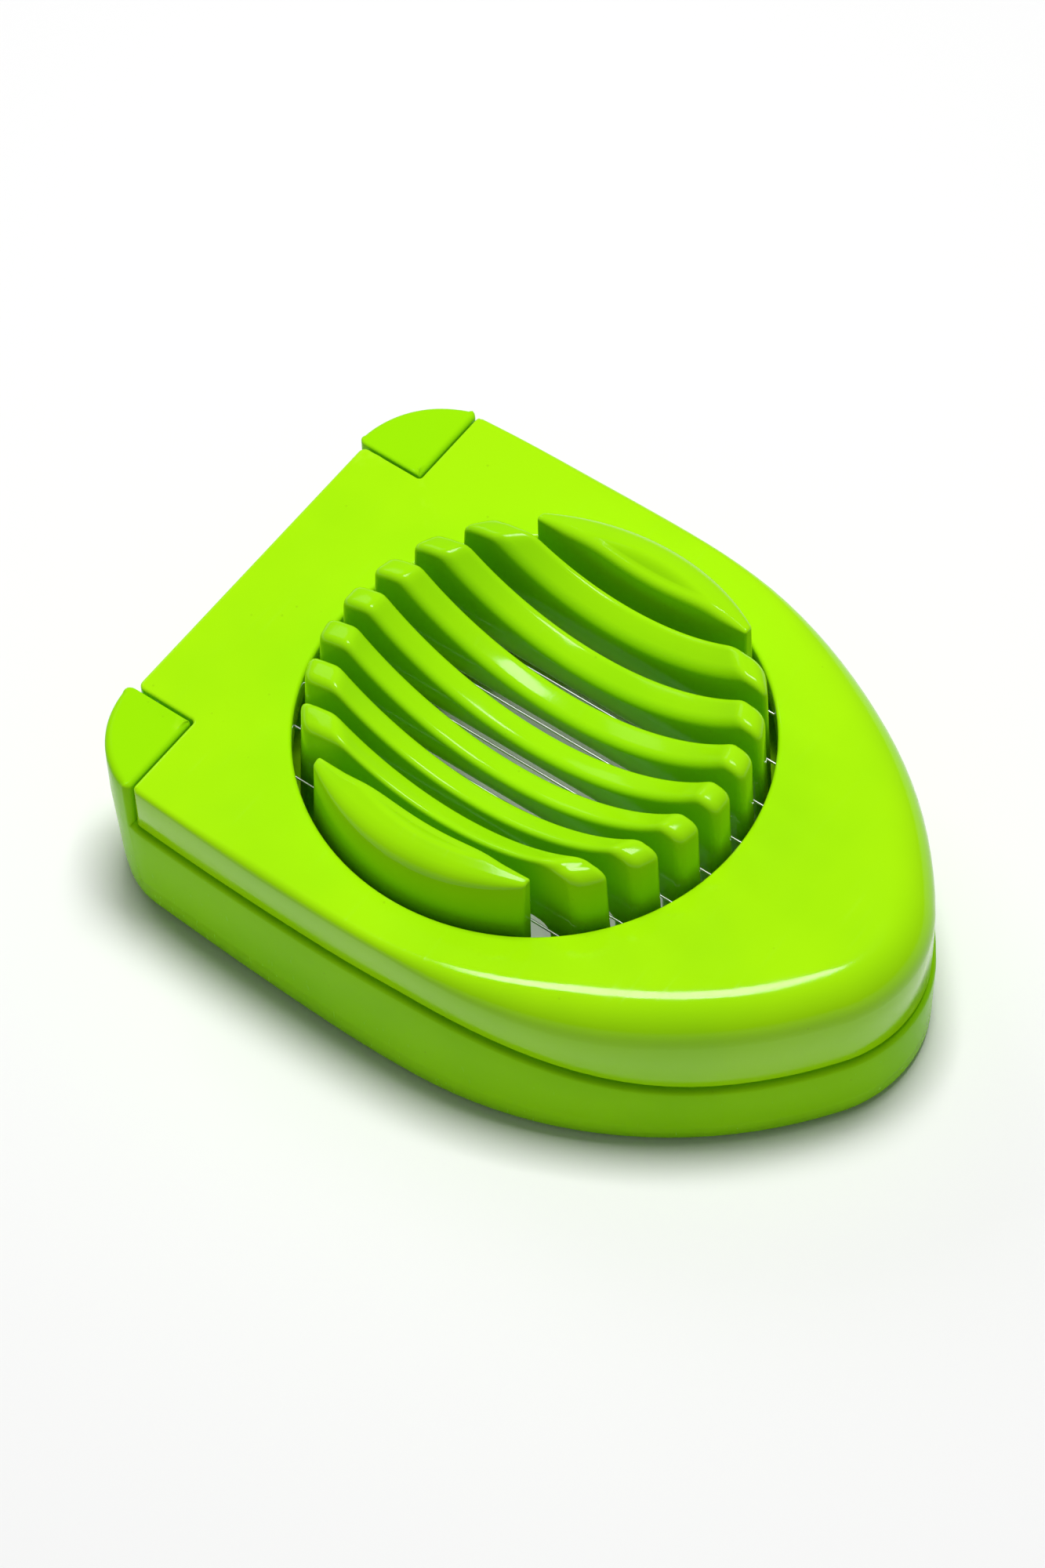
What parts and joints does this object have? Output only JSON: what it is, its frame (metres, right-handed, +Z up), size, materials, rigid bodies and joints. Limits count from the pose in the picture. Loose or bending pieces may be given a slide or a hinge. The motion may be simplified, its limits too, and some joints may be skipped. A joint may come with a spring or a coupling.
{
  "type": "egg slicer",
  "caption": "Hand-held egg slicer: a hinged frame lid strung with straight cutting wires closes over a slotted, cupped egg cradle on a hollow shield-shaped base.",
  "frame": {"origin": "centre of the bounding box at the level of the table, under the base", "axes": "+Z up; +Y towards the hinge; the rounded nose is at -Y; X is the hinge axis and the plane X = 0 is the plane of symmetry"},
  "size_m": [0.0918, 0.1255, 0.0438],
  "materials": {
    "lid_plastic": "polished moulded lime green",
    "base_plastic": "polished moulded lime green",
    "cradle_plastic": "polished moulded lime green",
    "wire_steel": "bright drawn stainless wire",
    "pin_steel": "turned stainless steel"
  },
  "bodies": {
    "base": {"base_shell": "base_plastic", "rib_1": "cradle_plastic", "rib_2": "cradle_plastic", "rib_3": "cradle_plastic", "rib_4": "cradle_plastic", "rib_5": "cradle_plastic", "rib_6": "cradle_plastic", "rib_7": "cradle_plastic", "end_pad_left": "cradle_plastic", "end_pad_right": "cradle_plastic"},
    "lid": {"lid_frame": "lid_plastic", "hinge_pin_left": "pin_steel", "hinge_pin_right": "pin_steel", "cutting_wire_1": "wire_steel", "cutting_wire_2": "wire_steel", "cutting_wire_3": "wire_steel", "cutting_wire_4": "wire_steel", "cutting_wire_5": "wire_steel", "cutting_wire_6": "wire_steel", "cutting_wire_7": "wire_steel", "cutting_wire_8": "wire_steel", "wire_anchor_front": "wire_steel", "wire_anchor_rear": "wire_steel"}
  },
  "joints": [
    {"name": "lid_hinge", "type": "hinge", "parent": "base", "child": "lid", "pos_m": [0, 0.058, 0.0288], "axis": [-1, 0, 0], "range_deg": [0, 110]}
  ]
}
